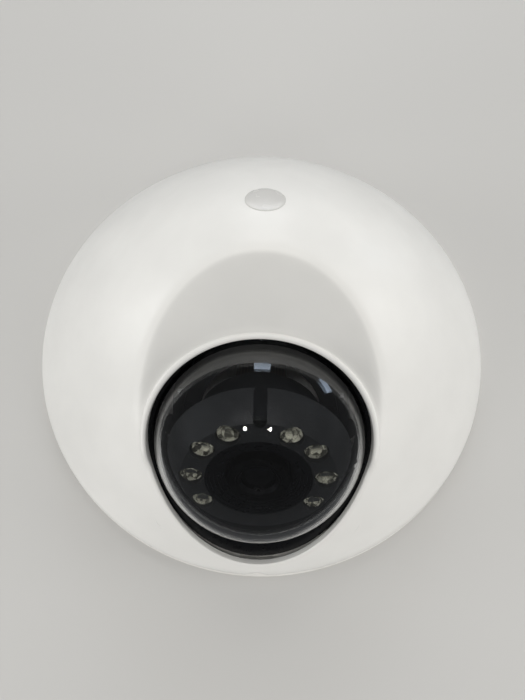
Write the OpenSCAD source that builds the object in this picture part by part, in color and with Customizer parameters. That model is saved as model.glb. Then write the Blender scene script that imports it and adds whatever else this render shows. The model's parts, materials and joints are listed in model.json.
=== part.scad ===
// Dome camera for a ceiling or wall. The back face is on z = 0, the dome rises along +Z,
// and the camera bubble leans towards -Y.

/* [Dome] */
// Diameter of the cover's rim
dome_d = 149.6; // [149:0.2:152]
// Height of the crown above the back face
dome_h = 66.65; // [66.4:0.05:67.4]
// Wall thickness of the cover, measured straight down
cover_wall = 2.8; // [2.4:0.1:3]
// Thickness of the flat scoop face
scoop_wall = 2.0; // [1.6:0.1:2.2]

/* [Bubble] */
// Lean of the bubble and of the scoop face towards the front
tilt = 38; // [37.5:0.25:38.5]
// Outer radius of the clear bubble
bubble_r = 29.4; // [29.2:0.1:29.5]
// Wall thickness of the bubble
bubble_wall = 1.8; // [1.5:0.1:1.9]
// Inner radius of the raised lip around the bubble
lip_r = 30.15; // [30.1:0.05:30.3]
// Height of the lip above the scoop face
lip_rise = 1.0; // [0.6:0.1:1.4]

/* [Camera] */
// Angle of the lens axis from +Z when the camera is at rest
aim = 54; // [50:1:56]
// Outer radius of the turret's spherical cover
turret_r = 26; // [25.5:0.1:26]
// Radius of the circle that the infrared lamps stand on
lamp_ring_r = 16.9; // [16.7:0.1:17]

/* [Mounting] */
// Diameter of the screw circle of the mounting plate
screw_circle_d = 76; // [70:1:80]
// Radius of each mounting screw hole
screw_hole_r = 2.2; // [1.8:0.1:2.4]
// Radius of the cable hole in the mounting plate
cable_hole_r = 17; // [16:0.5:17]

/* [Hidden] */

$fn = 96;
eps = 0.01;
dome_r = dome_d / 2;
flange_r = dome_r + 0.7;
far = 2 * dome_d;

// The dome's outline is a hyperbola: round at the crown, and nearly a cone lower down
crown_len = 107.8;
cone_slope = tan(60);
outline_steps = 36;
rim_bottom = 2.1;
rim_chamfer = 0.5;
cover_inner_r = dome_r - 2.2;

// Arched notch through the front of the rim, and the catch's tab that shows in it
notch_r = 3.65;
notch_z = 3.3;
tab_r = 3.3;
catch_z = 2.1;
catch_w = 6;

// Plain round badge on the crown
badge_y = 16.5;
badge_r = 5.2;
badge_rise = 0.2;

// The scoop face is a plane at this distance from the origin, along the bubble's axis
face_dist = 52.2;
face_shift = -11;
bubble_depth = 7.7;
bubble_c = [
    0,
    -sin(tilt) * (face_dist - bubble_depth) + cos(tilt) * face_shift,
    cos(tilt) * (face_dist - bubble_depth) + sin(tilt) * face_shift
];
bubble_inner_r = bubble_r - bubble_wall;

// The scoop face's edge is an ellipse, centred up-slope of the bubble
scoop_y = 6.9;
scoop_rx = 32.04;
scoop_ry = 45.56;
lip_w = 1.6;
lip_end_y = -7;
opening_rx = scoop_rx - 1.3;
opening_ry = scoop_ry + 0.55;

// Ring of bosses that the bubble is clamped to, in the bubble's frame
boss_ring_r = 37;
boss_r = 3;
boss_angles = [45, 135, 225, 315];
clamp_z = -1.6;
clamp_h = 2.0;
gasket_h = 0.8;
flange_z = clamp_z + clamp_h + gasket_h;
flange_h = 1.9;
bezel_z = flange_z + flange_h;
bezel_h = 1.8;

// Rear housing
flange_top = 1.8;
floor_z = 2.4;
floor_top = 4.2;
floor_r = 70.4;
plate_r = 50;
plate_h = 1.8;
recess_r = 51.5;
lug_reach = 2.4;
lug_angles = [90, 210, 330];
lug_half = 8;
lug_play = 20;

// Board stack
board_z = 22;
board_h = 1.6;
board_r = 46;
board_front = -3;
post_xy = [[-33, 6], [33, 6], [-22, 36], [22, 36]];
jack_x = 0;
jack_y = 14;
jack_w = 16;
jack_d = 14;
jack_bottom = 5;
socket_w = 11.8;
socket_d = 7.6;
socket_h = 12;
contact_pitch = 1.02;
button_x = 13.2;
button_y = 18;
button_r = 1.6;

// Centre line of the ribbon cable, front to back and height
ribbon_path = [
    [-2.6, 24.6], [-5, 24.2], [-6.6, 22], [-7.6, 19.4], [-9.4, 17.4], [-12, 16.6], [-14.4, 17.2],
    [-17, 18.4]
];
ribbon_h = 0.3;
ribbon_w = 16;

// Pan bearing, in the bubble's frame
table_z = -10.8;
table_h = 1.5;
table_r = 24.2;
table_gap = 0.4;
table_bore = 18.3;
washer_h = 0.3;
seat_h = 1.6;
seat_z = table_z - washer_h - seat_h;
keeper_z = -9;
keeper_h = 1.2;
keeper_bore = 23.3;
keeper_angles = [20, 90, 160];
keeper_screw_r = 25.5;
keeper_head_h = 0.5;
rim_r = 26.6;
yoke_x = 20.6;
yoke_t = 2;
yoke_reach = 22.85;
yoke_screw_x = 20.4;
yoke_half = 4;
foot_xy = [[-31.5, -30], [31.5, -30], [-31.5, -12], [31.5, -12]];
foot_r = 3.4;
foot_h = 2.2;
wall_t = 2;
rail_half = 20;
pin_r = 1.4;
pin_fit = 0.05;

// Turret, in the lens's frame
face_z = 17.3;
turret_wall = 1.6;
turret_back = 10;
lamp_angles = [-30, 4, 37, 64, 116, 143, 176, 210];
lamp_r = 2.7;
lamp_hole_r = 3.05;
lamp_board_z = 14;
lamp_board_h = 1.2;
shroud_r = 13.6;
shroud_bore = 8.8;
shroud_steps = 5;
frame_r = 18;
frame_wall = 1.5;
barrel_r = 7.8;
barrel_top = 17.4;

function dome_z(r) = dome_h + crown_len - sqrt(pow(crown_len, 2) + pow(cone_slope * r, 2));

function arc(rx, ry, from, to, steps) = [
    for (i = [0 : steps]) let (a = from + (to - from) * i / steps) [rx * cos(a), ry * sin(a)]
];

module in_bubble() {
    translate(bubble_c) rotate([tilt, 0, 0]) children();
}

module in_lens() {
    translate(bubble_c) rotate([aim, 0, 0]) children();
}

module at_bosses() {
    for (a = boss_angles) rotate([0, 0, a]) translate([boss_ring_r, 0, 0]) children();
}

module ring(outer, inner, h) {
    difference() {
        cylinder(r = outer, h = h);
        translate([0, 0, -eps]) cylinder(r = inner, h = h + 2 * eps);
    }
}

// A screw with its head's underside on z = 0, pointing down
module screw(shank_r, shank_l, head_r, head_h) {
    translate([0, 0, -shank_l]) cylinder(r = shank_r, h = shank_l + eps, $fn = 32);
    difference() {
        cylinder(r = head_r, h = head_h, $fn = 32);
        for (a = [0, 90]) rotate([0, 0, a])
            translate([-head_r * 0.6, -head_r * 0.12, head_h * 0.5])
                cube([head_r * 1.2, head_r * 0.24, head_h]);
    }
}

// Solid dome, moved down by sink and stopped at radius r
module dome_solid(sink, r, bottom, chamfer) {
    rotate_extrude($fn = 180) polygon(concat(
        [[0, bottom], [r - chamfer, bottom], [r, bottom + chamfer]],
        [for (i = [0 : outline_steps]) let (x = r * (1 - i / outline_steps)) [x, dome_z(x) - sink]]
    ));
}

// The same dome, cut off by the scoop plane at this distance
module cut_dome(sink, r, bottom, chamfer, distance) {
    difference() {
        dome_solid(sink, r, bottom, chamfer);
        rotate([tilt, 0, 0]) translate([-far / 2, -far / 2, distance]) cube([far, far, far]);
    }
}

// An ellipse round the scoop's centre, below this height
module front_outline(rx, ry, top_y) {
    intersection() {
        translate([0, scoop_y]) polygon(arc(rx, ry, 180, 360, 64));
        translate([-far / 2, top_y - far]) square([far, far]);
    }
}

module opening_outline() {
    circle(r = lip_r, $fn = 180);
    front_outline(opening_rx, opening_ry, lip_end_y);
}

module cover_shell() color("#e9e8e3") {
    difference() {
        union() {
            difference() {
                cut_dome(0, dome_r, rim_bottom, rim_chamfer, face_dist);
                cut_dome(cover_wall, cover_inner_r, 0, 0, face_dist - scoop_wall);
            }
            intersection() {
                in_bubble() at_bosses() translate([0, 0, clamp_z + clamp_h])
                    cylinder(r = boss_r, h = 2 * bubble_depth, $fn = 32);
                cut_dome(1, dome_r - 1, rim_bottom, 0, face_dist - 1);
            }
            in_bubble() intersection() {
                translate([0, 0, bubble_depth - scoop_wall])
                    cylinder(r = lip_r + lip_w, h = scoop_wall + lip_rise, $fn = 180);
                translate([-far / 2, lip_end_y, 0]) cube([far, far, far]);
            }
            badge();
        }
        in_bubble() translate([0, 0, 2]) linear_extrude(20) opening_outline();
        in_bubble() at_bosses() cylinder(r = 1.05, h = 4.4, $fn = 32);
        notch();
    }
}

// Plain raised disc, with nothing on it
module badge() {
    slope = atan(pow(cone_slope, 2) * badge_y
        / sqrt(pow(crown_len, 2) + pow(cone_slope * badge_y, 2)));
    translate([0, badge_y, dome_z(badge_y)]) rotate([-slope, 0, 0])
        translate([0, 0, -1]) cylinder(r = badge_r, h = 1 + badge_rise, $fn = 64);
}

// Arch along Y that stands on z = 0, with its round top centred at this height
module arch(r, height, depth) {
    translate([0, 0, height]) rotate([-90, 0, 0]) cylinder(r = r, h = depth, $fn = 64);
    translate([-r, 0, 0]) cube([2 * r, depth, height]);
}

module notch() translate([0, -dome_r - 2, 0]) arch(notch_r, notch_z, 8);

module bubble() color([0.12, 0.13, 0.14, 0.55]) in_bubble() {
    difference() {
        union() {
            sphere(r = bubble_r, $fn = 180);
            translate([0, 0, flange_z]) cylinder(r = bubble_r + 3, h = flange_h, $fn = 180);
        }
        sphere(r = bubble_inner_r, $fn = 180);
        translate([0, 0, flange_z - far]) cylinder(r = far, h = far);
    }
}

module bezel_ring() color("#141516") in_bubble() {
    bore = bubble_r + 0.1;
    step = 0.32;
    difference() {
        translate([0, 0, bezel_z]) union() {
            linear_extrude(bezel_h) {
                circle(r = bubble_r + 2.4, $fn = 180);
                front_outline(scoop_rx - 0.3, scoop_ry - 0.3, 0);
            }
            for (i = [0 : 2])
                cylinder(r = lip_r - 0.15, h = bezel_h + step * i);
        }
        sphere(r = bore, $fn = 180);
        for (i = [0 : 1])
            translate([0, 0, bezel_z + bezel_h + step * i])
                cylinder(r = lip_r - 0.15 - step * (2 - i), h = 4, $fn = 180);
    }
}

module bubble_gasket() color("#1c1c1c") in_bubble()
    translate([0, 0, flange_z - gasket_h]) ring(bubble_r + 2.6, bubble_r + 0.4, gasket_h);

module retaining_ring() color("#26282a") in_bubble() translate([0, 0, clamp_z])
    linear_extrude(clamp_h) difference() {
        union() {
            circle(r = bubble_r + 5.4, $fn = 180);
            at_bosses() circle(r = boss_r, $fn = 32);
        }
        circle(r = bubble_inner_r + 0.4, $fn = 180);
        at_bosses() circle(r = 1.2, $fn = 32);
    }

module retaining_screws() color("silver") in_bubble() at_bosses() translate([0, 0, clamp_z])
    rotate([180, 0, 0]) screw(1, 5.4, 1.9, 1.1);

// Sprung slide: a tab that shows in the notch, and the tongue behind it
module release_catch() color("#efeeea") {
    intersection() {
        translate([0, 0.3 - dome_r, 0]) arch(tab_r, notch_z, 2.4);
        translate([-dome_r, -dome_r, catch_z]) cube([2 * dome_r, dome_r, 10]);
    }
    translate([-catch_w / 2, 2.6 - dome_r, catch_z]) cube([catch_w, 1.2, 1.3]);
}

// Arc-shaped slots that the plate's lugs slide in
module lug_tracks(half, extra, low, high) {
    translate([0, 0, low]) linear_extrude(high - low) for (a = lug_angles) intersection() {
        circle(r = plate_r + lug_reach + extra);
        polygon([
            [0, 0],
            [far * cos(a - half), far * sin(a - half)],
            [far * cos(a + half), far * sin(a + half)]
        ]);
    }
}

module rear_housing() color("#e4e3de") {
    difference() {
        union() {
            cylinder(r = flange_r, h = flange_top, $fn = 180);
            cylinder(r = floor_r, h = floor_top, $fn = 180);
            for (p = post_xy) translate([p[0], p[1], floor_top - eps])
                cylinder(r = 3, h = board_z - floor_top + eps, $fn = 40);
        }
        translate([0, 0, -1]) cylinder(r = recess_r, h = 1 + floor_z, $fn = 180);
        lug_tracks(lug_half + lug_play, 0.4, 0.3, flange_top);
        lug_tracks(lug_half + 1, 0.4, -1, flange_top);
        translate([0, 0, -1]) difference() {
            cylinder(r = 68, h = 1 + floor_z);
            cylinder(r = 57, h = 10);
        }
        translate([jack_x - jack_w / 2 - 1, jack_y - jack_d / 2 - 1, 0])
            cube([jack_w + 2, jack_d + 2, 10]);
        translate([button_x, button_y, 0]) cylinder(r = button_r + 0.3, h = 10, $fn = 32);
        for (p = post_xy) translate([p[0], p[1], 8]) cylinder(r = 1.05, h = 20, $fn = 32);
        for (p = foot_xy) translate([p[0], p[1], 0]) cylinder(r = 1.3, h = 10, $fn = 32);
        translate([-5.2, -76, flange_top]) cube([10.4, 7, 3]);
    }
}

module mounting_plate() color("#b9bbbd") difference() {
    union() {
        cylinder(r = plate_r, h = plate_h, $fn = 180);
        lug_tracks(lug_half, 0, 0.5, 1.4);
    }
    translate([jack_x, jack_y + 2, -1]) cylinder(r = cable_hole_r, h = 4);
    for (a = [45 : 90 : 315]) rotate([0, 0, a])
        translate([screw_circle_d / 2, 0, -1]) cylinder(r = screw_hole_r, h = 4, $fn = 40);
}

module cover_seal() color("#3a3b3c") translate([0, 0, flange_top])
    difference() {
        ring(dome_r - 0.6, cover_inner_r + 0.3, 0.25);
        translate([-6, -76, -1]) cube([12, 6, 3]);
    }

module jack_seal() color("#2b2b2b") translate([jack_x, jack_y, floor_top]) difference() {
    translate([-jack_w / 2 - 2.5, -jack_d / 2 - 2.5, 0]) cube([jack_w + 5, jack_d + 5, 0.8]);
    translate([-jack_w / 2 + 0.5, -jack_d / 2 + 0.5, -1]) cube([jack_w - 1, jack_d - 1, 3]);
}

module camera_chassis() color("#222426") difference() {
    union() {
        in_bubble() translate([0, 0, seat_z]) {
            cylinder(r = rim_r, h = keeper_z - seat_z);
            for (s = [-1, 1]) translate([s * (rim_r - 1.5) - 1.5, -rail_half, 0])
                cube([3, 2 * rail_half, seat_h]);
        }
        for (s = [-1, 1]) translate([s * rim_r - wall_t / 2, 0, 0]) side_wall();
        for (p = foot_xy) hull() {
            translate([p[0], p[1], floor_top]) cylinder(r = foot_r, h = foot_h, $fn = 32);
            translate([sign(p[0]) * rim_r, p[1], floor_top + foot_h / 2])
                cube([0.8, 6, foot_h], center = true);
        }
    }
    in_bubble() translate([0, 0, seat_z + seat_h]) cylinder(r = table_r + table_gap, h = 20);
    in_bubble() translate([0, 0, seat_z - 20]) cylinder(r = table_bore, h = 40);
    for (p = foot_xy) translate([p[0], p[1], 0])
        cylinder(r = 1.05, h = floor_top + foot_h - 0.6, $fn = 32);
    in_bubble() for (a = keeper_angles) rotate([0, 0, a])
        translate([keeper_screw_r, 0, keeper_z - 2.4]) cylinder(r = 0.65, h = 4, $fn = 32);
    translate([-far / 2, -far / 2, floor_top - far]) cube([far, far, far]);
}

// Upright web that carries the tilted ring, 2 mm thick
module side_wall() {
    low = in_world_z(-rim_r + 3, seat_z);
    high = in_world_z(rim_r - 3, seat_z);
    front = in_world_y(-rim_r + 3, seat_z);
    back = in_world_y(rim_r - 3, seat_z);
    rotate([90, 0, 90]) linear_extrude(wall_t) difference() {
        polygon([[front, floor_top], [back, floor_top], [back, high + 1], [front, low + 1]]);
        polygon([
            [front + 14, floor_top + 3], [back - 4, floor_top + 3], [back - 4, high - 6]
        ]);
    }
}

function in_world_y(y, z) = bubble_c[1] + y * cos(tilt) - z * sin(tilt);

function in_world_z(y, z) = bubble_c[2] + y * sin(tilt) + z * cos(tilt);

module chassis_screws() color("silver") for (p = foot_xy)
    translate([p[0], p[1], floor_z]) rotate([180, 0, 0]) screw(1, 3.2, 2.0, 0.5);

module friction_washer() color("#c9c2a8") in_bubble()
    translate([0, 0, table_z - washer_h]) ring(table_r - 0.6, table_bore + 0.4, washer_h);

module pan_keeper_ring() color("#2a2c2e") in_bubble() translate([0, 0, keeper_z])
    difference() {
        ring(rim_r, keeper_bore, keeper_h);
        for (a = keeper_angles) rotate([0, 0, a])
            translate([keeper_screw_r, 0, -1]) {
                cylinder(r = 0.65, h = 4, $fn = 32);
                translate([0, 0, 1 + keeper_h - keeper_head_h]) cylinder(r = 0.95, h = 2, $fn = 32);
            }
    }

module pan_keeper_screws() color("silver") in_bubble() for (a = keeper_angles)
    rotate([0, 0, a]) translate([keeper_screw_r, 0, keeper_z + keeper_h - keeper_head_h])
        screw(0.6, 1.9, 0.9, keeper_head_h);

module pan_turntable() color("#1d1f21") in_bubble() translate([0, 0, table_z]) difference() {
    ring(table_r, table_bore, table_h);
    for (s = [-1, 1]) translate([s * yoke_screw_x, 0, -1])
        cylinder(r = 0.85, h = 4, $fn = 32);
}

// Arm of the yoke; side is -1 or 1
module yoke(side) {
    foot_z = table_z + table_h;
    foot_h = 1.4;
    foot_w = yoke_x + yoke_t - table_bore - 0.2;
    in_bubble() difference() {
        intersection() {
            union() {
                translate([side > 0 ? yoke_x : -yoke_x - yoke_t, -yoke_half, foot_z])
                    cube([yoke_t, 2 * yoke_half, -foot_z]);
                translate([side > 0 ? table_bore + 0.2 : -yoke_x - yoke_t, -yoke_half, foot_z])
                    cube([foot_w, 2 * yoke_half, foot_h]);
                translate([side > 0 ? yoke_x : -yoke_x - yoke_t, 0, 0]) rotate([0, 90, 0])
                    cylinder(r = yoke_half, h = yoke_t, $fn = 48);
            }
            translate([0, 0, foot_z - 1]) cylinder(r = yoke_reach, h = 20);
        }
        translate([side * (yoke_x - 1), 0, 0]) rotate([0, side * 90, 0])
            cylinder(r = pin_r + 0.02, h = yoke_t + 2, $fn = 40);
        translate([side * yoke_screw_x, 0, foot_z - 1]) cylinder(r = 0.85, h = 4, $fn = 32);
    }
}

module yoke_left() color("#25272a") yoke(-1);

module yoke_right() color("#25272a") yoke(1);

module yoke_screws() color("silver") in_bubble() for (s = [-1, 1])
    translate([s * yoke_screw_x, 0, table_z + 0.2]) cylinder(r = 0.8, h = 2.5, $fn = 32);

// Pins on the tilt axis, fixed in the yoke and turning in the turret's frame
module pivot_pins() color("#8e9194") in_bubble() for (s = [-1, 1]) rotate([0, s * 90, 0]) {
    translate([0, 0, frame_r - frame_wall + 0.3])
        cylinder(r = pin_r, h = yoke_x + yoke_t - frame_r + frame_wall - 0.3, $fn = 40);
    translate([0, 0, yoke_x + yoke_t]) cylinder(r = 2.2, h = 0.6, $fn = 40);
}

module tilt_washers() color("#c9c2a8") in_bubble() for (s = [-1, 1]) rotate([0, s * 90, 0])
    translate([0, 0, yoke_x - 0.4]) ring(3.4, pin_r + 0.1, 0.4);

// Spherical front of the turret with its lamp windows and the slot above the lens
module turret_cover() color("#191b1d") in_lens() difference() {
    intersection() {
        sphere(r = turret_r, $fn = 180);
        translate([0, 0, turret_back]) cylinder(r = far, h = face_z - turret_back);
    }
    intersection() {
        sphere(r = turret_r - turret_wall, $fn = 180);
        translate([0, 0, -far]) cylinder(r = far, h = far + face_z - turret_wall);
    }
    translate([0, 0, turret_back]) cylinder(r = shroud_r + 0.05, h = 20);
    for (a = lamp_angles) rotate([0, 0, a])
        translate([lamp_ring_r, 0, lamp_board_z]) cylinder(r = lamp_hole_r, h = 8, $fn = 48);
    for (a = [50 : 15.5 : 65.5]) rotate([-a, 0, 0])
        translate([0, 0, turret_r - 4]) cylinder(r = 1.6, h = 8, $fn = 40);
    rotate([-50, 0, 0]) rotate([0, 90, 0]) rotate_wedge(15.5, turret_r + 4, 3.2);
}

// Slab between two planes that meet on the tilt axis; it joins the slot's round ends
module rotate_wedge(angle, reach, width) {
    translate([0, 0, -width / 2]) linear_extrude(width)
        polygon([
            [-(turret_r - 4), 0], [-reach, 0],
            [-reach * cos(angle), reach * sin(angle)],
            [-(turret_r - 4) * cos(angle), (turret_r - 4) * sin(angle)]
        ]);
}

// Cup behind the lamps that carries the lens and turns on the pins
module turret_frame() color("#202225") in_lens() difference() {
    union() {
        translate([0, 0, -4]) ring(frame_r, frame_r - frame_wall, lamp_board_z + 4);
        translate([0, 0, 5]) ring(frame_r - frame_wall + eps, 11.2, 1.6);
        for (s = [-1, 1]) rotate([0, s * 90, 0])
            translate([0, 0, frame_r - frame_wall])
                cylinder(r = 3.4, h = yoke_x - 0.5 - frame_r + frame_wall, $fn = 48);
    }
    rotate([0, 90, 0]) translate([0, 0, -far / 2])
        cylinder(r = pin_r + pin_fit, h = far, $fn = 40);
    for (a = [30 : 120 : 270]) rotate([0, 0, a])
        translate([13.8, 0, 4]) cylinder(r = 0.85, h = 4, $fn = 32);
}

module turret_screws() color("silver") in_lens() for (a = [30 : 120 : 270]) rotate([0, 0, a])
    translate([13.8, 0, 5]) rotate([180, 0, 0]) screw(0.8, lamp_board_z - 5, 1.5, 0.8);

// Stepped cone round the lens that keeps stray light out
module lens_shroud() color("#0f1011") in_lens() difference() {
    translate([0, 0, lamp_board_z + lamp_board_h])
        cylinder(r = shroud_r, h = face_z - lamp_board_z - lamp_board_h);
    for (i = [0 : shroud_steps]) translate([0, 0, face_z - 0.4 * (i + 0.6)])
        cylinder(r = shroud_r - 0.5 - (shroud_r - shroud_bore - 0.5) * i / shroud_steps, h = 6);
    cylinder(r = shroud_bore, h = 40);
}

module lamp_board() color("#1b1d1c") in_lens() translate([0, 0, lamp_board_z]) difference() {
    ring(18.6, 11.4, lamp_board_h);
    for (a = [30 : 120 : 270]) rotate([0, 0, a])
        translate([13.8, 0, -1]) cylinder(r = 0.85, h = 4, $fn = 32);
}

module lamp_lenses() color([0.9, 0.9, 0.86, 0.6]) in_lens() for (a = lamp_angles)
    rotate([0, 0, a]) translate([lamp_ring_r, 0, lamp_board_z + lamp_board_h]) difference() {
        union() {
            cylinder(r = lamp_r, h = 1, $fn = 48);
            intersection() {
                translate([0, 0, -0.9]) sphere(r = 3.3, $fn = 64);
                translate([0, 0, 0.9]) cylinder(r = lamp_r, h = 4, $fn = 48);
            }
        }
        translate([0, 0, -eps]) cylinder(r = 1.25, h = 0.75, $fn = 32);
    }

module lamp_emitters() color("#d8c36a") in_lens() for (a = lamp_angles)
    rotate([0, 0, a]) translate([lamp_ring_r, 0, lamp_board_z + lamp_board_h])
        cylinder(r = 1.15, h = 0.6, $fn = 32);

module lens_holder() color("#17191b") in_lens() difference() {
    union() {
        translate([0, 0, 6.8]) cylinder(r = 10.6, h = 2);
        translate([0, 0, 0.4]) cylinder(r = 9.6, h = 6.5);
        translate([-9.2, -9.2, 0.4]) cube([18.4, 18.4, 2.2]);
    }
    translate([0, 0, 2.6]) cylinder(r = 6.05, h = 10);
    translate([-4.6, -4.6, 0]) cube([9.2, 9.2, 4]);
    for (s = [-1, 1]) translate([s * 7.6, s * 7.6, 0]) cylinder(r = 0.85, h = 2, $fn = 32);
}

module lens_barrel() color("#101113") in_lens() difference() {
    union() {
        translate([0, 0, 3.2]) cylinder(r = 6, h = 7);
        translate([0, 0, 8.9]) cylinder(r = 7, h = 3);
        translate([0, 0, 11.2]) cylinder(r = barrel_r, h = barrel_top - 11.2);
    }
    translate([0, 0, 3]) cylinder(r = 3.4, h = 20);
    translate([0, 0, barrel_top - 2.6]) cylinder(r = 5.9, h = 10);
}

module lens_trim_ring() color("#2d2f31") in_lens() difference() {
    translate([0, 0, barrel_top - 1.0]) cylinder(r = 5.85, h = 1.1);
    translate([0, 0, barrel_top - 1.1]) cylinder(r1 = 4.5, r2 = 5.3, h = 1.3);
}

module lens_front_glass() color([0.2, 0.24, 0.34, 0.5]) in_lens() {
    translate([0, 0, barrel_top - 2.6]) cylinder(r = 5.8, h = 1.2);
    translate([0, 0, barrel_top - 1.5]) intersection() {
        translate([0, 0, -6.2]) sphere(r = 7.6, $fn = 96);
        cylinder(r = 4.4, h = 3);
    }
}

module infrared_filter() color([0.5, 0.35, 0.4, 0.5]) in_lens()
    translate([-4.3, -4.3, 1.4]) cube([8.6, 8.6, 0.5]);

module sensor_board() color("#1d5a3a") in_lens() difference() {
    translate([-9.2, -9.2, -1.2]) cube([18.4, 18.4, 1.2]);
    for (s = [-1, 1]) translate([s * 7.6, s * 7.6, -2]) cylinder(r = 0.85, h = 4, $fn = 32);
}

module image_sensor() color("#2f3338") in_lens() translate([-3.8, -3.2, 0]) cube([7.6, 6.4, 0.9]);

module sensor_screws() color("silver") in_lens() for (s = [-1, 1])
    translate([s * 7.6, s * 7.6, -1.2]) rotate([180, 0, 0]) screw(0.8, 2.6, 1.4, 0.7);

module main_board() color("#1d5a3a") translate([0, 0, board_z]) difference() {
    linear_extrude(board_h) intersection() {
        circle(r = board_r, $fn = 120);
        translate([-far / 2, board_front]) square([far, far]);
    }
    for (p = post_xy) translate([p[0], p[1], -1]) cylinder(r = 1.2, h = 4, $fn = 32);
}

module board_screws() color("silver") for (p = post_xy)
    translate([p[0], p[1], board_z + board_h]) screw(1, 5, 2, 1.2);

module processor_chip() color("#191a1c") translate([-8, 12, board_z + board_h]) cube([16, 16, 1.4]);

module thermal_pad() color("#7d8a96") translate([-7, 13, board_z + board_h + 1.4]) cube([14, 14, 0.6]);

module heat_sink() color("#b8bcc0") translate([-11, 9, board_z + board_h + 2]) {
    cube([22, 22, 2]);
    for (i = [0 : 5]) translate([i * 4, 0, 2 - eps]) cube([2, 22, 5]);
}

module memory_chip() color("#1b1c1e") translate([16, 14, board_z + board_h]) cube([9, 13, 1.1]);

module power_transformer() color("#2a2620") translate([-29, 16, board_z + board_h]) difference() {
    cube([13, 12, 8]);
    for (y = [-eps, 9 + eps]) translate([-1, y, 2]) cube([15, 3, 4]);
}

module power_inductor() color("#55585c") translate([22, 2.5, board_z + board_h]) {
    translate([-3.5, -3.5, 0]) cube([7, 7, 1]);
    cylinder(r = 3.2, h = 3.6, $fn = 48);
}

module capacitors() color("#3a3f55") for (x = [-12, -4, 4]) translate([x, 36, board_z + board_h])
    cylinder(r = 3, h = 7, $fn = 48);

module ethernet_jack() color("#b3b6b9") translate([jack_x, jack_y, jack_bottom]) difference() {
    translate([-jack_w / 2, -jack_d / 2, 0]) cube([jack_w, jack_d, board_z - jack_bottom]);
    translate([-jack_w / 2 + 0.4, -jack_d / 2 + 0.4, -1])
        cube([jack_w - 0.8, jack_d - 0.8, board_z - jack_bottom + 0.6]);
}

module jack_insert() color("#1b1b1c") translate([jack_x, jack_y, jack_bottom]) difference() {
    translate([-jack_w / 2 + 0.4, -jack_d / 2 + 0.4, 0])
        cube([jack_w - 0.8, jack_d - 0.8, board_z - jack_bottom - 0.4]);
    translate([-socket_w / 2, -socket_d / 2, -1]) cube([socket_w, socket_d, 1 + socket_h]);
    translate([-3.2, -socket_d / 2 - 1.6, -1]) cube([6.4, 2, 1 + socket_h]);
}

module jack_contacts() color("gold") for (i = [0 : 7])
    translate([jack_x + (i - 3.5) * contact_pitch - 0.2, jack_y + socket_d / 2 - 0.5, jack_bottom + 2])
        cube([0.4, 0.5, socket_h - 2]);

module ribbon_connector() color("#e6e2d4") translate([-10, board_front + 0.5, board_z + board_h])
    cube([20, 4, 2]);

// Flat cable from the board, down behind the chassis and in through the turntable's bore
module ribbon_cable() color("#4a3a2c") translate([-ribbon_w / 2, 0, 0])
    rotate([90, 0, 90]) linear_extrude(ribbon_w) polygon(concat(ribbon_side(0), [
        for (i = [len(ribbon_path) - 1 : -1 : 0]) ribbon_side(ribbon_h)[i]
    ]));

// The centre line moved to one side by h
function ribbon_side(h) = [
    for (i = [0 : len(ribbon_path) - 1]) let (
        a = ribbon_path[max(i - 1, 0)],
        b = ribbon_path[min(i + 1, len(ribbon_path) - 1)],
        d = (b - a) / norm(b - a)
    ) ribbon_path[i] + h * [-d[1], d[0]]
];

module reset_switch() color("#3c3d40") translate([button_x, button_y, board_z]) {
    translate([-3, -3, -1.6]) cube([6, 6, 1.6]);
    translate([0, 0, -2.2]) cylinder(r = 1.2, h = 0.7, $fn = 32);
}

module reset_button() color("#c23b2e") translate([button_x, button_y, 0]) {
    translate([0, 0, 2.7]) cylinder(r = button_r, h = board_z - 2.2 - 0.6 - 2.7, $fn = 40);
    translate([0, 0, floor_top + 0.1]) cylinder(r = button_r + 0.9, h = 1, $fn = 40);
}

rear_housing();
mounting_plate();
cover_seal();
jack_seal();
cover_shell();
bubble();
bezel_ring();
bubble_gasket();
retaining_ring();
retaining_screws();
release_catch();
camera_chassis();
chassis_screws();
friction_washer();
pan_keeper_ring();
pan_keeper_screws();
pan_turntable();
yoke_left();
yoke_right();
yoke_screws();
pivot_pins();
tilt_washers();
turret_cover();
turret_frame();
turret_screws();
lens_shroud();
lamp_board();
lamp_lenses();
lamp_emitters();
lens_holder();
lens_barrel();
lens_trim_ring();
lens_front_glass();
infrared_filter();
sensor_board();
image_sensor();
sensor_screws();
main_board();
board_screws();
processor_chip();
memory_chip();
thermal_pad();
heat_sink();
power_transformer();
power_inductor();
capacitors();
ethernet_jack();
jack_insert();
jack_contacts();
ribbon_connector();
ribbon_cable();
reset_switch();
reset_button();
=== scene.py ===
"""Looks of the dome camera: cover, materials, lamps, light and camera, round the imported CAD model."""

import json
import math

import bmesh
import bpy
from mathutils import Matrix, Vector


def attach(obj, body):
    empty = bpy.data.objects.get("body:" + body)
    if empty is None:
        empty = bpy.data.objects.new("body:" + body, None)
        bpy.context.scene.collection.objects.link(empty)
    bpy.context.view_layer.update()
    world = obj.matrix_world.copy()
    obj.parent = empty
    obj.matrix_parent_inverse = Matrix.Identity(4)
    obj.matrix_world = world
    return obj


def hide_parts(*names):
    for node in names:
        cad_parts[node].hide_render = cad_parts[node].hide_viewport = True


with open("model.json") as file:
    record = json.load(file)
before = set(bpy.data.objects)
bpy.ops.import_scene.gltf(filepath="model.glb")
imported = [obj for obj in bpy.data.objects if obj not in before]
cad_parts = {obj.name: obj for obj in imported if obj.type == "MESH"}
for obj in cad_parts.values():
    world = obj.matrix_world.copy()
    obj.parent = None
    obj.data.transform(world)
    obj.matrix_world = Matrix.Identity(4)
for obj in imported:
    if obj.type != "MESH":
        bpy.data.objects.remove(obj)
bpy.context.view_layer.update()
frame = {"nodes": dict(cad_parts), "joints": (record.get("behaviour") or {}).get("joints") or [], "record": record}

MM = 0.001
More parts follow.
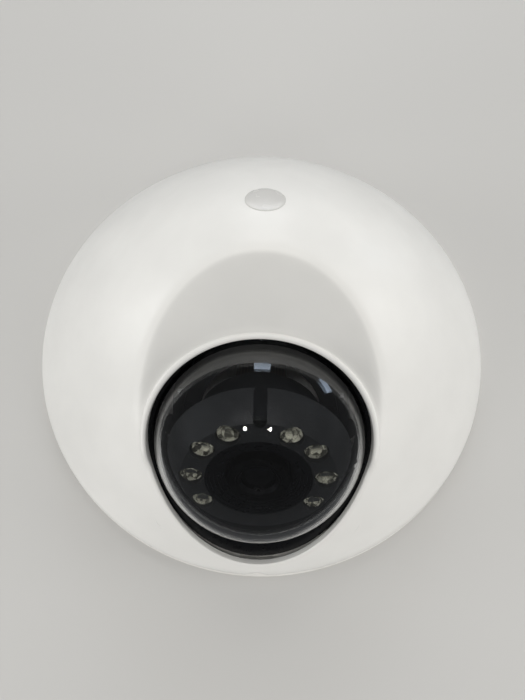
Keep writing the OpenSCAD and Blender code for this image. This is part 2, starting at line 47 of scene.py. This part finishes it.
NODES = frame["nodes"]
JOINTS = {j["name"]: j for j in frame["joints"]}

# The cover's shape, in millimetres, as in the CAD model
RIM_R = 74.8
CROWN_H = 66.65
CROWN_LEN = 107.8
CONE_SLOPE = math.tan(math.radians(60))
WALL = 2.8
INNER_R = 72.6
RIM_BOTTOM = 2.1
FACE_DIST = 52.2
FACE_Z = 7.7
FACE_WALL = 2.0
LIP_R = 30.15
LIP_RISE = 1.0
LIP_END = -7.0
SCOOP_Y = 6.9
SCOOP_RX = 32.04
SCOOP_RY = 45.56
OPENING_RX = SCOOP_RX - 1.3
OPENING_RY = SCOOP_RY + 0.55
NOTCH_R = 3.65
NOTCH_Z = 3.3
BADGE_Y = 16.5
BADGE_R = 5.2
BADGE_RISE = 0.2
BOSS_RING_R = 37.0
BOSS_R = 3.0
BOSS_BORE_R = 1.05
BOSS_BOTTOM = 0.4
BOSS_TOP = 5.4

BUBBLE_C = Vector(JOINTS["camera_tilt"]["pos_m"]) / MM
BUBBLE_AXIS = Vector(JOINTS["cover_lift"]["axis"])
TILT = math.atan2(-BUBBLE_AXIS.y, BUBBLE_AXIS.z)
LENS_AXIS = Vector(JOINTS["lens_turn"]["axis"])
AIM = math.atan2(-LENS_AXIS.y, LENS_AXIS.z)


def leaning(angle):
    """Frame at the bubble's centre, leant towards the front, in millimetres."""
    return Matrix.Translation(BUBBLE_C) @ Matrix.Rotation(angle, 4, "X")


IN_BUBBLE = leaning(TILT)
IN_LENS = leaning(AIM)


def clamp(value, low=0.0, high=1.0):
    return max(low, min(high, value))


def smooth(low, high, value):
    """0 below low, 1 above high, and an S-shaped ramp between."""
    t = clamp((value - low) / (high - low))
    return t * t * (3 - 2 * t)


def soft_min(a, b, width):
    """The lower of two heights, with the corner between them rounded over width."""
    h = clamp(0.5 + 0.5 * (b - a) / width)
    return b * (1 - h) + a * h - width * h * (1 - h)


# ---------------------------------------------------------------- mesh helpers


def mesh_object(name, bm, body, smooth_angle=40):
    """Turns a bmesh in millimetres into an object that rides on a CAD body."""
    bm.normal_update()
    bmesh.ops.recalc_face_normals(bm, faces=bm.faces)
    bmesh.ops.scale(bm, vec=(MM, MM, MM), verts=bm.verts)
    mesh = bpy.data.meshes.new(name)
    bm.to_mesh(mesh)
    bm.free()
    obj = bpy.data.objects.new(name, mesh)
    bpy.context.scene.collection.objects.link(obj)
    mesh.polygons.foreach_set("use_smooth", [True] * len(mesh.polygons))
    mesh.set_sharp_from_angle(angle=math.radians(smooth_angle))
    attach(obj, body)
    return obj


def grid_loop(bm, columns):
    """Joins closed columns of points, which follow each other round a ring, with quads."""
    verts = [[bm.verts.new(p) for p in column] for column in columns]
    count = len(verts)
    rows = len(verts[0])
    for i in range(count):
        here = verts[i]
        following = verts[(i + 1) % count]
        for j in range(rows):
            k = (j + 1) % rows
            bm.faces.new((here[j], following[j], following[k], here[k]))


def lathe(bm, profile, matrix, segments=64):
    """Turns a closed profile of (radius, height) points about the local Z axis."""
    columns = []
    for i in range(segments):
        a = 2 * math.pi * i / segments
        columns.append(
            [matrix @ Vector((r * math.cos(a), r * math.sin(a), z)) for r, z in profile]
        )
    grid_loop(bm, columns)


# ---------------------------------------------------------------- the cover


def dome_z(r):
    return CROWN_H + CROWN_LEN - math.hypot(CROWN_LEN, CONE_SLOPE * r)


def plane_z(y, distance):
    return (distance + math.sin(TILT) * y) / math.cos(TILT)


def outer_z(x, y):
    """Height of the cover's outside, with the scoop's edge soft above and crisp in front."""
    local_y = (y - BUBBLE_C.y + FACE_Z * math.sin(TILT)) / math.cos(TILT)
    width = 0.4 + 1.6 * smooth(-14, 22, local_y)
    return soft_min(dome_z(math.hypot(x, y)), plane_z(y, FACE_DIST), width)


def inner_z(x, y):
    """Height of the cover's inside."""
    return soft_min(
        dome_z(math.hypot(x, y)) - WALL, plane_z(y, FACE_DIST - FACE_WALL), 1.5
    )


def opening_radius(a):
    """Distance from the bubble's axis to the opening's edge in the direction a."""
    c, s = math.cos(a), math.sin(a)
    if LIP_R * s > LIP_END:
        return LIP_R
    qa = (c / OPENING_RX) ** 2 + (s / OPENING_RY) ** 2
    qb = -2 * s * SCOOP_Y / OPENING_RY**2
    qc = (SCOOP_Y / OPENING_RY) ** 2 - 1
    return max(LIP_R, (-qb + math.sqrt(qb * qb - 4 * qa * qc)) / (2 * qa))


# Steps outward from the opening's edge, and how high the lip stands there as a part of its rise
LIP_PROFILE = [
    (0.0, 0.45), (0.1, 0.75), (0.32, 0.94), (0.8, 1.0), (1.28, 0.94), (1.5, 0.75),
    (1.62, 0.42), (1.72, 0.12), (1.95, 0.0), (2.6, -0.06), (3.6, -0.05), (5.0, 0.0),
]
# The same steps where there is no lip: only a small round edge
EDGE_PROFILE = [-0.3, -0.1, -0.02] + [0.0] * (len(LIP_PROFILE) - 3)
OUTER_ROWS = 70
INNER_ROWS = 26
COLUMNS = 540


def reach(x, y, dx, dy, radius):
    """How far the ray from (x, y) along (dx, dy) runs until it meets the circle of this radius."""
    qa = dx * dx + dy * dy
    qb = x * dx + y * dy
    qc = x * x + y * y - radius * radius
    return (-qb + math.sqrt(qb * qb - qa * qc)) / qa


def onto_surface(point):
    """Slides a point along the bubble's axis until it is on the cover's outside."""
    for _ in range(30):
        point = point - 0.5 * (point.z - outer_z(point.x, point.y)) * BUBBLE_AXIS
    return point


def cover_column(a):
    """One closed loop of points: from the opening over the outside, round the rim and back inside."""
    c, s = math.cos(a), math.sin(a)
    edge = opening_radius(a)
    dx, dy = c, s * math.cos(TILT)
    start = onto_surface(IN_BUBBLE @ Vector((edge * c, edge * s, FACE_Z)))
    lip = smooth(LIP_END - 1.0, LIP_END + 5.0, edge * s)
    corner_r = RIM_R - 1.3
    last = reach(start.x, start.y, dx, dy, corner_r)
    squeeze = min(1.0, 0.6 * last / LIP_PROFILE[-1][0])
    points = []
    for (step, rise), bare in zip(LIP_PROFILE, EDGE_PROFILE):
        x, y = start.x + dx * step * squeeze, start.y + dy * step * squeeze
        lift = lip * rise * LIP_RISE + (1 - lip) * bare
        points.append(Vector((x, y, outer_z(x, y))) + lift * BUBBLE_AXIS)
    first = LIP_PROFILE[-1][0] * squeeze
    for i in range(1, OUTER_ROWS + 1):
        step = first + (last - first) * (i / OUTER_ROWS) ** 1.15
        x, y = start.x + dx * step, start.y + dy * step
        points.append(Vector((x, y, outer_z(x, y))))
    around = Vector((points[-1].x, points[-1].y, 0)).normalized()
    points += rim_points(around, corner_r, points[-1].z)
    floor_start = start - FACE_WALL * BUBBLE_AXIS
    far = reach(floor_start.x, floor_start.y, dx, dy, INNER_R)
    for i in range(INNER_ROWS, 0, -1):
        x = floor_start.x + dx * far * i / INNER_ROWS
        y = floor_start.y + dy * far * i / INNER_ROWS
        points.append(Vector((x, y, inner_z(x, y))))
    points.append(floor_start)
    return points


def rim_points(around, corner_r, top):
    """The rounded shoulder, the upright edge and the underside of the rim, outside to inside."""
    wall_top = dome_z(RIM_R) - 1.0
    points = []
    for i in range(1, 8):
        t = i / 7
        r = (1 - t) ** 2 * corner_r + (2 * t - t * t) * RIM_R
        z = (1 - t) ** 2 * top + 2 * t * (1 - t) * dome_z(RIM_R) + t * t * wall_top
        points.append(around * r + Vector((0, 0, z)))
    for inset, rise in ((0, 0.5), (0.15, 0.15), (0.5, 0), (RIM_R - INNER_R - 0.1, 0)):
        points.append(around * (RIM_R - inset) + Vector((0, 0, RIM_BOTTOM + rise)))
    return points


def notch_cutter():
    """Arched bar along Y that the rim's notch is cut with."""
    bm = bmesh.new()
    outline = [(-NOTCH_R, -1), (NOTCH_R, -1)]
    for i in range(33):
        a = math.pi * i / 32
        outline.append((NOTCH_R * math.cos(a), NOTCH_Z + NOTCH_R * math.sin(a)))
    ends = [[bm.verts.new((x, y, z)) for x, z in outline] for y in (-RIM_R - 3, -RIM_R + 6)]
    for end in ends:
        bm.faces.new(end)
    for j in range(len(outline)):
        k = (j + 1) % len(outline)
        bm.faces.new((ends[0][j], ends[0][k], ends[1][k], ends[1][j]))
    return bm


def carve(bm, cutter):
    """Cuts one closed mesh out of another and returns what is left."""
    objects = []
    for part in (bm, cutter):
        bmesh.ops.recalc_face_normals(part, faces=part.faces)
        mesh = bpy.data.meshes.new("carving")
        part.to_mesh(mesh)
        part.free()
        obj = bpy.data.objects.new("carving", mesh)
        bpy.context.scene.collection.objects.link(obj)
        objects.append(obj)
    cut = objects[0].modifiers.new("cut", "BOOLEAN")
    cut.operation = "DIFFERENCE"
    cut.solver = "EXACT"
    cut.object = objects[1]
    left = bmesh.new()
    left.from_object(objects[0], bpy.context.evaluated_depsgraph_get())
    for obj in objects:
        mesh = obj.data
        bpy.data.objects.remove(obj)
        bpy.data.meshes.remove(mesh)
    return left


def make_cover():
    """The cover's skin, its rim's notch and the four bosses inside for the clamp ring's screws."""
    bm = bmesh.new()
    boss = [
        (BOSS_BORE_R, BOSS_BOTTOM), (BOSS_R, BOSS_BOTTOM), (BOSS_R, BOSS_TOP), (BOSS_BORE_R, BOSS_TOP),
    ]
    grid_loop(bm, [cover_column(2 * math.pi * i / COLUMNS) for i in range(COLUMNS)])
    bm = carve(bm, notch_cutter())
    for k in range(4):
        a = math.radians(45 + 90 * k)
        place = (BOSS_RING_R * math.cos(a), BOSS_RING_R * math.sin(a), 0)
        lathe(bm, boss, IN_BUBBLE @ Matrix.Translation(place), 40)
    cover = mesh_object("cover_skin", bm, "cover", 50)
    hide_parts("cover_shell")
    return cover


def make_badge():
    """Plain raised disc that follows the dome's curve, with a rounded edge."""
    slope = math.atan2(CONE_SLOPE**2 * BADGE_Y, math.hypot(CROWN_LEN, CONE_SLOPE * BADGE_Y))
    normal = Vector((0, math.sin(slope), math.cos(slope)))
    profile = [
        (0.02, BADGE_RISE), (BADGE_R * 0.35, BADGE_RISE), (BADGE_R * 0.7, BADGE_RISE),
        (BADGE_R - 0.3, BADGE_RISE), (BADGE_R - 0.1, BADGE_RISE - 0.05),
        (BADGE_R, BADGE_RISE - 0.15), (BADGE_R, -0.4), (0.02, -0.4),
    ]
    columns = []
    for i in range(96):
        a = 2 * math.pi * i / 96
        column = []
        for r, height in profile:
            x, y = r * math.cos(a), BADGE_Y + r * math.sin(a) * math.cos(slope)
            column.append(Vector((x, y, dome_z(math.hypot(x, y)))) + height * normal)
        columns.append(column)
    bm = bmesh.new()
    grid_loop(bm, columns)
    bmesh.ops.remove_doubles(bm, verts=bm.verts, dist=0.03)
    return mesh_object("plain_badge", bm, "cover", 35)


# ---------------------------------------------------------------- lamps

LAMP_RING_R = 16.9
LAMP_ANGLES = (-30, 4, 37, 64, 116, 143, 176, 210)
LAMP_FLOOR = 15.2


def make_lamp_cups():
    """Bright faceted reflector in each lamp, round its emitter."""
    bm = bmesh.new()
    for angle in LAMP_ANGLES:
        a = math.radians(angle)
        place = Matrix.Translation(
            (LAMP_RING_R * math.cos(a), LAMP_RING_R * math.sin(a), LAMP_FLOOR)
        )
        inside = [(1.3, 0.02), (1.45, 0.05), (1.7, 0.32), (2.2, 0.62), (2.55, 0.98)]
        profile = inside + [(2.62, 0.98), (2.62, 0.02)]
        lathe(bm, profile, IN_LENS @ place @ Matrix.Rotation(a, 4, "Z"), 14)
    return mesh_object("lamp_cups", bm, "turret", 10)


# ---------------------------------------------------------------- materials


class Look:
    """One procedural material, started from a Principled shader and object coordinates."""

    def __init__(self, name, color, roughness=0.5, metallic=0.0, **values):
        self.mat = bpy.data.materials.new(name)
        self.mat.use_nodes = True
        self.tree = self.mat.node_tree
        self.out = self.tree.nodes["Material Output"]
        self.bsdf = self.tree.nodes["Principled BSDF"]
        self.color = color
        self.set("Base Color", (*color, 1))
        self.set("Roughness", roughness)
        self.set("Metallic", metallic)
        for key, value in values.items():
            self.set(key.replace("_", " "), value)
        coords = self.node("TexCoord")
        self.coords = coords.outputs["Object"]

    def node(self, kind):
        return self.tree.nodes.new("ShaderNode" + kind)

    def link(self, a, b):
        self.tree.links.new(a, b)

    def set(self, socket, value):
        self.bsdf.inputs[socket].default_value = value

    def noise(self, size, detail=3, rough=0.5):
        """Noise whose lumps are about size metres across."""
        n = self.node("TexNoise")
        n.inputs["Scale"].default_value = 1 / size
        n.inputs["Detail"].default_value = detail
        n.inputs["Roughness"].default_value = rough
        self.link(self.coords, n.inputs["Vector"])
        return n.outputs["Fac"]

    def cell_edges(self, size):
        """Distance to the edges of cells that are about size metres across."""
        n = self.node("TexVoronoi")
        n.feature = "DISTANCE_TO_EDGE"
        n.inputs["Scale"].default_value = 1 / size
        self.link(self.coords, n.inputs["Vector"])
        return n.outputs["Distance"]

    def ramp(self, fac, low, high):
        """Maps the middle of a noise's range onto low..high."""
        n = self.node("MapRange")
        n.inputs["From Min"].default_value = 0.3
        n.inputs["From Max"].default_value = 0.7
        n.inputs["To Min"].default_value = low
        n.inputs["To Max"].default_value = high
        self.link(fac, n.inputs["Value"])
        return n.outputs["Result"]

    def vary_color(self, fac, darker, lighter):
        n = self.node("Mix")
        n.data_type = "RGBA"
        n.inputs[6].default_value = (*(c * darker for c in self.color), 1)
        n.inputs[7].default_value = (*(min(1, c * lighter) for c in self.color), 1)
        self.link(self.ramp(fac, 0, 1), n.inputs[0])
        self.link(n.outputs[2], self.bsdf.inputs["Base Color"])

    def vary_roughness(self, fac, low, high):
        self.link(self.ramp(fac, low, high), self.bsdf.inputs["Roughness"])

    def bump(self, fac, depth, strength=1.0):
        """Bump of this depth in metres."""
        n = self.node("Bump")
        n.inputs["Distance"].default_value = depth
        n.inputs["Strength"].default_value = strength
        self.link(fac, n.inputs["Height"])
        self.link(n.outputs["Normal"], self.bsdf.inputs["Normal"])

    def clear_to_lamps(self, tint):
        """Lets light rays straight through, tinted, so that what is behind the glass is lit."""
        path = self.node("LightPath")
        clear = self.node("BsdfTransparent")
        clear.inputs["Color"].default_value = (*tint, 1)
        mix = self.node("MixShader")
        self.link(path.outputs["Is Shadow Ray"], mix.inputs[0])
        self.link(self.bsdf.outputs[0], mix.inputs[1])
        self.link(clear.outputs[0], mix.inputs[2])
        self.link(mix.outputs[0], self.out.inputs["Surface"])


def moulded(name, color, roughness, grain, depth, **values):
    """Moulded plastic: fine spark-eroded grain, slow mottling and uneven gloss."""
    look = Look(name, color, roughness, **values)
    look.vary_color(look.noise(0.02, 4), 0.97, 1.03)
    look.vary_roughness(look.noise(grain * 6, 2), roughness - 0.05, roughness + 0.05)
    look.bump(look.noise(grain, 2, 0.6), depth)
    return look.mat


def cover_plastic():
    """Warm white satin plastic, with painted shade on the scoop's flat plane: its colour is made a shade greyer
    there, except at its front end and on the raised lip, to stand in for the dimmer light that plane gets.
    """
    look = Look("white_cover", (0.80, 0.795, 0.77), 0.42)
    depth = look.node("VectorMath")
    depth.operation = "DOT_PRODUCT"
    depth.inputs[1].default_value = BUBBLE_AXIS
    look.link(look.coords, depth.inputs[0])
    above = look.node("Math")
    above.operation = "SUBTRACT"
    above.inputs[1].default_value = FACE_DIST * MM
    look.link(depth.outputs["Value"], above.inputs[0])
    distance = look.node("Math")
    distance.operation = "ABSOLUTE"
    look.link(above.outputs[0], distance.inputs[0])
    # Painted shade: darkens the colour where a point lies within about 0.1 to 0.45 mm of the scoop's flat plane,
    # standing in for the dimmer light there rather than a real change of plastic.
    scoop_painted_shade = look.node("MapRange")
    scoop_painted_shade.interpolation_type = "SMOOTHSTEP"
    scoop_painted_shade.inputs["From Min"].default_value = 0.10 * MM
    scoop_painted_shade.inputs["From Max"].default_value = 0.45 * MM
    across = look.node("SeparateXYZ")
    look.link(look.coords, across.inputs[0])
    # Strength of the painted shade along Y: none at the scoop's front end, down to 0.86 of the colour further
    # back.
    behind = look.node("MapRange")
    behind.inputs["From Min"].default_value = -44 * MM
    behind.inputs["From Max"].default_value = -30 * MM
    behind.inputs["To Min"].default_value = 1.0
    behind.inputs["To Max"].default_value = 0.86
    look.link(across.outputs["Y"], behind.inputs["Value"])
    look.link(behind.outputs["Result"], scoop_painted_shade.inputs["To Min"])
    scoop_painted_shade.inputs["To Max"].default_value = 1.0
    look.link(distance.outputs[0], scoop_painted_shade.inputs["Value"])
    look.vary_color(look.noise(0.02, 4), 0.97, 1.03)
    # Multiplies the painted shade into the base colour.
    shade = look.node("Mix")
    shade.data_type = "RGBA"
    shade.blend_type = "MULTIPLY"
    shade.inputs[0].default_value = 1.0
    look.link(look.bsdf.inputs["Base Color"].links[0].from_socket, shade.inputs[6])
    look.link(scoop_painted_shade.outputs["Result"], shade.inputs[7])
    look.link(shade.outputs[2], look.bsdf.inputs["Base Color"])
    look.vary_roughness(look.noise(0.003, 2), 0.37, 0.47)
    look.bump(look.noise(0.0005, 2, 0.6), 0.000012)
    return look.mat


def metal(name, color, roughness, grain=0.0004):
    """Plated or brushed metal with fine scratches and a little tarnish."""
    look = Look(name, color, roughness, 1.0)
    look.vary_color(look.noise(0.004, 5), 0.86, 1.08)
    look.vary_roughness(look.noise(grain * 3, 3), roughness - 0.08, roughness + 0.12)
    look.bump(look.noise(grain, 4), 0.00001)
    return look.mat


def rubber(name, color):
    look = Look(name, color, 0.78)
    look.vary_color(look.noise(0.003, 4), 0.8, 1.25)
    look.bump(look.noise(0.0003, 3), 0.00003)
    return look.mat


def glass(name, color, tint, ior):
    """Polished clear plastic or glass; tint is the colour of the light that falls through it."""
    look = Look(name, color, 0.0, Transmission_Weight=1.0, IOR=ior)
    look.clear_to_lamps(tint)
    return look


def smoked_glass():
    """Dark polished bubble, with the faintest ripple of a moulding in its surface."""
    look = glass("smoked_bubble", (0.53, 0.54, 0.55), (0.76, 0.77, 0.78), 1.58)
    look.bump(look.noise(0.012, 1), 0.00001, 0.3)
    return look.mat


def circuit_board(name, track, ground):
    """Solder resist over a net of copper tracks."""
    look = Look(name, ground, 0.32, 0.0, Coat_Weight=0.4)
    tracks = look.cell_edges(0.0032)
    lines = look.node("MapRange")
    lines.inputs["From Min"].default_value = 0.03
    lines.inputs["From Max"].default_value = 0.06
    look.link(tracks, lines.inputs["Value"])
    mix = look.node("Mix")
    mix.data_type = "RGBA"
    mix.inputs[6].default_value = (*track, 1)
    mix.inputs[7].default_value = (*ground, 1)
    look.link(lines.outputs["Result"], mix.inputs[0])
    look.link(mix.outputs[2], look.bsdf.inputs["Base Color"])
    look.bump(lines.outputs["Result"], -0.00004)
    return look.mat


def lamp_mirror():
    """Cream-white gloss in small bumped facets, with painted glints: each cell's colour is made dark or bright, so
    that it sparkles.
    """
    look = Look("lamp_die", (1.0, 0.96, 0.84), 0.16, 0.05)
    facets_and_painted_glints = look.node("TexVoronoi")
    facets_and_painted_glints.inputs["Scale"].default_value = 1 / 0.0009
    look.link(look.coords, facets_and_painted_glints.inputs["Vector"])
    split = look.node("SeparateColor")
    look.link(facets_and_painted_glints.outputs["Color"], split.inputs[0])
    # Painted glints: each cell's colour is made dark or bright at random, standing in for facets that catch or
    # miss the light.
    look.vary_color(split.outputs[0], 0.12, 1.02)
    look.bump(facets_and_painted_glints.outputs["Distance"], 0.0003)
    return look.mat


def chip_epoxy():
    look = Look("chip_black", (0.02, 0.02, 0.022), 0.6)
    look.vary_color(look.noise(0.002, 4), 0.7, 1.5)
    look.bump(look.noise(0.00012, 2), 0.00002)
    return look.mat


def ribbon_film():
    """Dark film with its copper lanes showing through."""
    look = Look("ribbon_film", (0.05, 0.035, 0.025), 0.3, 0.0, Coat_Weight=0.3)
    wave = look.node("TexWave")
    wave.bands_direction = "X"
    wave.inputs["Scale"].default_value = 320
    look.link(look.coords, wave.inputs["Vector"])
    look.vary_color(wave.outputs["Fac"], 0.6, 1.15)
    return look.mat


def build_looks():
    return {
        "white_cover": cover_plastic(),
        "badge_grey": moulded("badge_grey", (0.62, 0.615, 0.595), 0.25, 0.0006, 0.000004),
        "white_housing": moulded("white_housing", (0.80, 0.79, 0.765), 0.45, 0.0005, 0.000015),
        "smoked_bubble": smoked_glass(),
        "black_trim": moulded("black_trim", (0.004, 0.0045, 0.006), 0.3, 0.0003, 0.00001),
        "black_rubber": rubber("black_rubber", (0.022, 0.022, 0.022)),
        "plated_steel": metal("plated_steel", (0.66, 0.66, 0.67), 0.28),
        "plate_steel": moulded("plate_steel", (0.48, 0.49, 0.50), 0.5, 0.0007, 0.00003),
        "dark_frame": moulded("dark_frame", (0.02, 0.021, 0.023), 0.5, 0.0006, 0.00003),
        "textured_black": moulded("textured_black", (0.036, 0.037, 0.039), 0.42, 0.00042, 0.00012),
        "washer_plastic": moulded("washer_plastic", (0.58, 0.52, 0.38), 0.4, 0.0006, 0.00001),
        "lens_metal": metal("lens_metal", (0.03, 0.03, 0.032), 0.34),
        "lens_glass": glass("lens_glass", (0.07, 0.08, 0.12), (0.15, 0.16, 0.2), 1.6).mat,
        "clear_lamp": glass("clear_lamp", (0.97, 0.965, 0.93), (0.95, 0.95, 0.92), 1.5).mat,
        "lamp_die": lamp_mirror(),
        "circuit_board": circuit_board("circuit_board", (0.05, 0.24, 0.10), (0.015, 0.10, 0.045)),
        "board_black": circuit_board("board_black", (0.03, 0.032, 0.03), (0.012, 0.013, 0.012)),
        "chip_black": chip_epoxy(),
        "thermal_grey": rubber("thermal_grey", (0.30, 0.34, 0.38)),
        "heat_aluminium": metal("heat_aluminium", (0.70, 0.71, 0.72), 0.38),
        "capacitor_sleeve": metal("capacitor_sleeve", (0.30, 0.33, 0.42), 0.3),
        "gold_contact": metal("gold_contact", (0.90, 0.68, 0.28), 0.2),
        "connector_cream": moulded("connector_cream", (0.74, 0.70, 0.60), 0.5, 0.0005, 0.00001),
        "ribbon_film": ribbon_film(),
        "button_red": moulded("button_red", (0.52, 0.05, 0.03), 0.35, 0.0006, 0.00001),
    }


def dress(looks, extra):
    """Gives every CAD node and every new piece the material of its slot."""
    slots = {s["node"]: s["material_slot"] for s in frame["record"]["subparts"]}
    for name, obj in NODES.items():
        wear(obj, looks[slots[name]])
    for obj, slot in extra:
        wear(obj, looks[slot])


def wear(obj, mat):
    obj.data.materials.clear()
    obj.data.materials.append(mat)


# ---------------------------------------------------------------- stage

CAMERA_TILT = math.radians(18.73)
CAMERA_ROLL = math.radians(1.37)
CAMERA_DISTANCE = 0.1853
CAMERA_TARGET = Vector((0.0002, -0.0021, 0))
LENS_MM = 27.05


def make_camera():
    data = bpy.data.cameras.new("camera")
    data.lens = LENS_MM
    data.sensor_width = 36
    data.clip_start = 0.01
    obj = bpy.data.objects.new("camera", data)
    bpy.context.scene.collection.objects.link(obj)
    lean = Matrix.Rotation(CAMERA_TILT, 4, "X")
    back = lean @ Vector((0, 0, 1))
    obj.matrix_world = (
        Matrix.Translation(CAMERA_TARGET + CAMERA_DISTANCE * back)
        @ lean
        @ Matrix.Rotation(CAMERA_ROLL, 4, "Z")
    )
    bpy.context.scene.camera = obj


def area_light(name, place, size, power, color):
    """Rectangular light that points at the middle of the dome."""
    data = bpy.data.lights.new(name, "AREA")
    data.shape = "RECTANGLE"
    data.size, data.size_y = size
    data.energy = power
    data.color = color
    obj = bpy.data.objects.new(name, data)
    bpy.context.scene.collection.objects.link(obj)
    obj.location = place
    aim = Vector((0, 0, 0.03)) - Vector(place)
    obj.rotation_euler = aim.to_track_quat("-Z", "Y").to_euler()
    return obj


def make_floor():
    """Pale table top, which shows neither in reflections nor through glass."""
    bm = bmesh.new()
    bmesh.ops.create_grid(bm, x_segments=1, y_segments=1, size=3)
    mesh = bpy.data.meshes.new("floor")
    bm.to_mesh(mesh)
    bm.free()
    obj = bpy.data.objects.new("floor", mesh)
    bpy.context.scene.collection.objects.link(obj)
    obj.location.z = -0.00005
    obj.visible_glossy = False
    obj.visible_transmission = False
    look = Look("floor", (0.56, 0.555, 0.54), 0.7)
    look.vary_color(look.noise(0.5, 2), 0.98, 1.02)
    wear(obj, look.mat)


def make_world():
    """Soft light from all round, which mirrors only dimly in glossy surfaces."""
    world = bpy.data.worlds.new("studio")
    bpy.context.scene.world = world
    world.use_nodes = True
    tree = world.node_tree
    background = tree.nodes["Background"]
    background.inputs["Color"].default_value = (0.90, 0.91, 0.93, 1)
    path = tree.nodes.new("ShaderNodeLightPath")
    direct = tree.nodes.new("ShaderNodeMath")
    direct.operation = "MAXIMUM"
    tree.links.new(path.outputs["Is Camera Ray"], direct.inputs[0])
    tree.links.new(path.outputs["Is Diffuse Ray"], direct.inputs[1])
    strength = tree.nodes.new("ShaderNodeMapRange")
    strength.inputs["To Min"].default_value = 0.07
    strength.inputs["To Max"].default_value = 0.31
    tree.links.new(direct.outputs["Value"], strength.inputs["Value"])
    tree.links.new(strength.outputs["Result"], background.inputs["Strength"])


WARM = (1.0, 0.985, 0.955)
NEUTRAL = (0.98, 0.985, 0.98)
SPOT = (1.0, 0.97, 0.92)
# Each light: name, place, width and height, watts, colour, and whether it reaches the bubble and bezel
LIGHTS = [
    ("top", (0.0, 0.0, 1.6), (0.9, 0.9), 1.2, WARM, False),
    ("back", (0.0, 0.9, 1.3), (0.9, 0.6), 4.5, WARM, False),
    ("back_low", (0.0, 1.3, 0.6), (0.9, 0.4), 4.5, NEUTRAL, False),
    ("left", (-1.25, 0.0, 0.33), (0.6, 0.4), 4.3, NEUTRAL, False),
    ("right", (1.25, 0.0, 0.33), (0.6, 0.4), 3.8, WARM, False),
    ("right_high", (0.9, 0.3, 1.0), (0.6, 0.6), 1.8, WARM, False),
    ("front_left", (-0.85, -0.9, 0.3), (0.6, 0.4), 3.8, WARM, False),
    ("front_right", (0.85, -0.9, 0.3), (0.6, 0.4), 2.9, WARM, False),
    ("spot_left", (-0.32, -0.18, 1.25), (0.07, 0.06), 1.6, SPOT, True),
    ("spot_right", (0.22, -0.18, 1.25), (0.06, 0.05), 1.4, SPOT, True),
    ("window", (0.02, 1.2, 0.72), (0.34, 0.2), 0.7, (0.72, 0.84, 1.0), True),
    ("window_right", (1.2, 0.85, 0.14), (0.3, 0.2), 0.6, (0.66, 0.80, 1.0), True),
]


def make_lights():
    """Adds the lights; the broad ones miss the polished bubble and the black ring round it."""
    left_out = bpy.data.collections.new("left_out")
    for name in ("bubble", "bezel_ring"):
        left_out.objects.link(NODES[name])
    for item in left_out.collection_objects:
        item.light_linking.link_state = "EXCLUDE"
    for name, place, size, power, color, on_bubble in LIGHTS:
        light = area_light(name, place, size, power, color)
        if not on_bubble:
            light.light_linking.receiver_collection = left_out


# ---------------------------------------------------------------- build

make_camera()
make_floor()
make_world()
make_lights()
cover = make_cover()
badge = make_badge()
cups = make_lamp_cups()
dress(build_looks(), [(cover, "white_cover"), (badge, "badge_grey"), (cups, "lamp_die")])

bpy.context.scene.view_settings.view_transform = "Standard"
